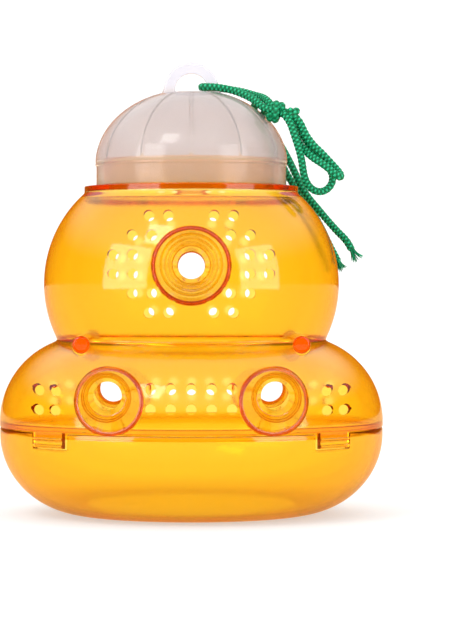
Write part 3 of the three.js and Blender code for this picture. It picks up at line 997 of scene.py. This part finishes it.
def cap_shell(name):
    """Rows follow the outline outside and in. Columns go round, in fixed distances by a flute."""
    wall, skirt, step = CAP["wall"], CAP["skirt"], CAP["step"]
    outside = dome(CAP["dome"], CAP["rise"], 60)
    inside = dome(CAP["dome"] - wall, CAP["rise"] - wall, 40)[::-1]
    lead = softened(np.array([
        (skirt - wall, CAP["rim"]), (skirt, CAP["rim"]), (skirt, step), (CAP["dome"], step + 0.05),
        (CAP["dome"], CAP["base"]), (skirt - wall, CAP["base"]),
    ]), 0.25)[:-4]
    flat_top, flat_inside = outside[-1, 1], inside[0, 1]
    centre = np.linspace(1, 0, 6)[1:, None]
    outline = np.vstack([
        lead, outside[1:-1],
        [(CAP_TOP + 0.5, flat_top - 0.2), (CAP_TOP, flat_top), (CAP_TOP - 0.6, flat_top - 0.25)],
        centre * (CAP_TOP - 1, 0) + (0, flat_top - 0.3),
        centre[::-1] * (CAP_TOP, 0) + (0, flat_inside), inside, [(skirt - wall, CAP["base"] - 1)],
    ])
    r, z = outline.T
    slope = np.gradient(outline, axis=0)
    normal = np.stack([slope[:, 1], -slope[:, 0]], axis=1)
    normal /= np.linalg.norm(normal, axis=1)[:, None]
    outer = np.zeros(len(r), bool)
    outer[: len(lead) + len(outside)] = True
    sector = 360 / FLUTES
    spread = np.degrees(1 / np.maximum(r, 6))[:, None]
    near = spread * FLUTE_COLUMNS
    t = np.linspace(0, 1, PLAIN_COLUMNS + 2)[1:-1]
    plain = near[:, -1:] * (1 - t) + (sector + near[:, :1]) * t
    one = np.hstack([near, plain])
    bearing = np.hstack([one + sector * k for k in range(FLUTES)])
    off = np.hstack([np.broadcast_to(FLUTE_COLUMNS, near.shape), np.full(plain.shape, 9.0)])
    off = np.tile(off, (1, FLUTES))
    edge, half = FLUTE["edge"], FLUTE["half"]
    across = 1 - smoothstep(half - edge, half + edge, np.abs(off))
    low, fade = FLUTE["low"], FLUTE["fade"]
    along = smoothstep(low, low + fade, z) * smoothstep(CAP_TOP + 0.4, CAP_TOP + 1.4, r) * outer
    depth = FLUTE["depth"] * across * along[:, None]
    radius, height = r[:, None] - depth * normal[:, :1], z[:, None] - depth * normal[:, 1:]
    angle = np.radians(bearing)
    grid = np.stack([radius * np.sin(angle), -radius * np.cos(angle), height], axis=-1)
    return mesh_object(name, grid, quads(*grid.shape[:2], wrap_rows=True, wrap_columns=True))


# %% The hanging loop
LOOP = {"centre": 162.4, "outer": 10.5, "inner": 6.2, "foot": 12.2, "thick": 3.6, "root": 160.4}
SPRING = 0.12  # the angle, in radians, where the legs run into the arch
INNER_SPRING = 0.7  # how far above the arch's middle the inner leg runs
ARCH_STEPS = 48
LEG_STEPS = 6
ROUND_THE_BAR = 28


def hanging_loop(name):
    """A rounded bar bent into an arch on flared feet. Each section is a superellipse.

    A foot flares by the square root of the way up its leg. A superellipse is an ellipse whose
    cosine and sine are replaced by their square roots, signs kept, which squares it off.
    """
    centre, root, foot = LOOP["centre"], LOOP["root"], LOOP["foot"]
    arch = np.linspace(SPRING, np.pi - SPRING, ARCH_STEPS)
    leg = np.linspace(0, 1, LEG_STEPS + 1)[:-1]
    outer_x, outer_z = LOOP["outer"] * np.cos(SPRING), LOOP["outer"] * np.sin(SPRING)
    outer_leg = np.stack([
        foot + (outer_x - foot) * np.sqrt(leg), root + (centre + outer_z - root) * leg,
    ], axis=1)
    inner_leg = np.stack([
        np.full(LEG_STEPS, LOOP["inner"]), root + (centre + INNER_SPRING - root) * leg,
    ], axis=1)
    ring = np.stack([np.cos(arch), np.sin(arch)], axis=1)
    mirror = (-1, 1)
    outer = np.vstack([outer_leg, (0, centre) + LOOP["outer"] * ring, outer_leg[::-1] * mirror])
    inner = np.vstack([inner_leg, (0, centre) + LOOP["inner"] * ring, inner_leg[::-1] * mirror])
    t = np.linspace(0, 2 * np.pi, ROUND_THE_BAR, endpoint=False)
    across = np.sign(np.cos(t)) * np.abs(np.cos(t)) ** 0.5
    through = np.sign(np.sin(t)) * np.abs(np.sin(t)) ** 0.5
    middle, half = (outer + inner) / 2, (outer - inner) / 2
    place = middle[:, None] + half[:, None] * across[:, None]
    y = np.broadcast_to(through * LOOP["thick"] / 2, place.shape[:2])
    return swept(name, np.stack([place[..., 0], y, place[..., 1]], axis=-1))


cap = cap_shell("cap_moulding")
boolean(cap, hanging_loop("loop"), "UNION")


# %% [markdown]
# ## Milky plastic
# Natural polypropylene scatters light inside itself. Much of the light that enters comes back
# out pale and warm, and the rest goes through blurred, so the neck shows faintly through it.


# %% Milky
CAP_HEIGHT = 0.045  # in metres, from the rim up to the arch of the hanging loop


def milky():
    """Milky plastic, with a painted warm glow of the amber neck low on the skirt, and lighter and
    cooler at the loop.
    """
    material, root, output = new_material("milky_polypropylene")
    cloud = noise(root, 70, 3.0)
    place = Value(root.tree, root.node("TexCoord").outputs["Object"])
    height = Value(root.tree, root.node("SeparateXYZ", Vector=place).outputs["Z"])
    level = (height - CAP["rim"] * MM) * (1 / CAP_HEIGHT)
    # Low on the skirt the colour is a painted warm glow of the neck behind; at the loop it is
    # lighter and cooler.
    neck_glow_and_tone = level.colours(
        (0.19, (0.86, 0.75, 0.68)), (0.24, (0.87, 0.80, 0.79)),
        (0.79, (0.87, 0.80, 0.79)), (0.86, (0.93, 0.91, 0.98)),
    )
    haze = cloud.colours((0.25, (0.95, 0.95, 0.95)), (0.75, (1, 1, 1)))
    multiply = {"data_type": "RGBA", "blend_type": "MULTIPLY"}
    colour = root.node("Mix", multiply, Factor=1.0, i6=neck_glow_and_tone, i7=haze)
    surface = root.node(
        "BsdfPrincipled", Base_Color=Value(root.tree, colour.outputs[2]),
        Roughness=cloud * 0.08 + 0.12, IOR=1.42, Transmission_Weight=0.75,
    )
    root.tree.links.new(surface.outputs[0], output.inputs["Surface"])
    return material


finish_piece(cap, "cap", ["cap"], milky())

# %% [markdown]
# ## Studio
# The trap stands on a pale floor in soft white light from every side. Two tall soft boxes give
# the window-like gleams on the globe. Clear plastic needs something to mirror, or its edges
# turn as white as the room, so a mirrored ray finds warm orange cards round the trap, and an
# orange floor. The floor is a light table: it glows a little, which keeps the underside from
# going dark.


# %% Floor, world and lights
ROOM_WHITE = (1.15, 1.15, 1.15, 1)
WARM_CARDS = (0.62, 0.20, 0.01, 1)


def soft_box(name, place, size, power, aim=(0, 0, 0.09)):
    data = bpy.data.lights.new(name, "AREA")
    data.shape = "RECTANGLE"
    data.size, data.size_y = size
    data.energy = power
    light = bpy.data.objects.new(name, data)
    light.location = place
    direction = np.array(aim) - np.array(place)
    flat = np.hypot(direction[0], direction[1])
    tilt = np.pi / 2 + np.arctan2(direction[2], flat)
    bearing = np.arctan2(direction[1], direction[0]) - np.pi / 2
    light.rotation_euler = (tilt, 0, bearing)
    bpy.context.collection.objects.link(light)
    return light


for box in (
    soft_box("left_box", (-0.95, -0.74, 0.25), (0.8, 1.1), 11),
    soft_box("right_box", (0.95, -0.7, 0.25), (0.7, 1.0), 7),
):
    box.visible_diffuse = False
soft_box("key", (-0.5, -0.8, 1.0), (0.4, 0.4), 3)

def mirrored(root):
    """1 for a ray that mirrors off a surface, and 0 for one that sees, lights or passes through."""
    ray = root.node("LightPath")
    glossy = Value(root.tree, ray.outputs["Is Glossy Ray"])
    return glossy * (1 - Value(root.tree, ray.outputs["Is Transmission Ray"]))


def blended(root, amount, first, second):
    made = root.node("Mix", {"data_type": "RGBA"}, Factor=amount, i6=first, i7=second)
    return Value(root.tree, made.outputs[2])


world = bpy.data.worlds.new("white_room")
world.use_nodes = True
sky = Value(world.node_tree, None)
direction = Value(world.node_tree, sky.node("TexCoord").outputs["Generated"])
height = Value(world.node_tree, sky.node("SeparateXYZ", Vector=direction).outputs["Z"])
room = blended(sky, mirrored(sky) * (1 - height.clamped(0.25, 0.6)), ROOM_WHITE, WARM_CARDS)
world.node_tree.links.new(room.socket, world.node_tree.nodes["Background"].inputs["Color"])
bpy.context.scene.world = world
bpy.context.scene.cycles.max_bounces = 32
bpy.context.scene.cycles.transmission_bounces = 32
bpy.context.scene.cycles.glossy_bounces = 20
bpy.context.scene.view_settings.view_transform = "Standard"

FLOOR_REACH = 20.0  # metres, so that its edge is out of sight
floor_corners = np.array([(-1, -1, 0), (1, -1, 0), (1, 1, 0), (-1, 1, 0)]) * FLOOR_REACH
floor_mesh = bpy.data.meshes.new("floor")
floor_mesh.from_pydata(floor_corners, [], [(0, 1, 2, 3)])
floor = bpy.data.objects.new("floor", floor_mesh)
floor_material, floor_root, floor_output = new_material("pale_floor")
seen_in_plastic = mirrored(floor_root)
floor_surface = floor_root.node(
    "BsdfPrincipled", Roughness=0.9, Emission_Strength=0.46,
    Base_Color=blended(floor_root, seen_in_plastic, (0.6, 0.6, 0.6, 1), (0.60, 0.36, 0.16, 1)),
    Emission_Color=blended(floor_root, seen_in_plastic, (1, 1, 1, 1), (0.95, 0.58, 0.22, 1)),
)
floor_root.tree.links.new(floor_surface.outputs[0], floor_output.inputs["Surface"])
floor_mesh.materials.append(floor_material)
bpy.context.collection.objects.link(floor)
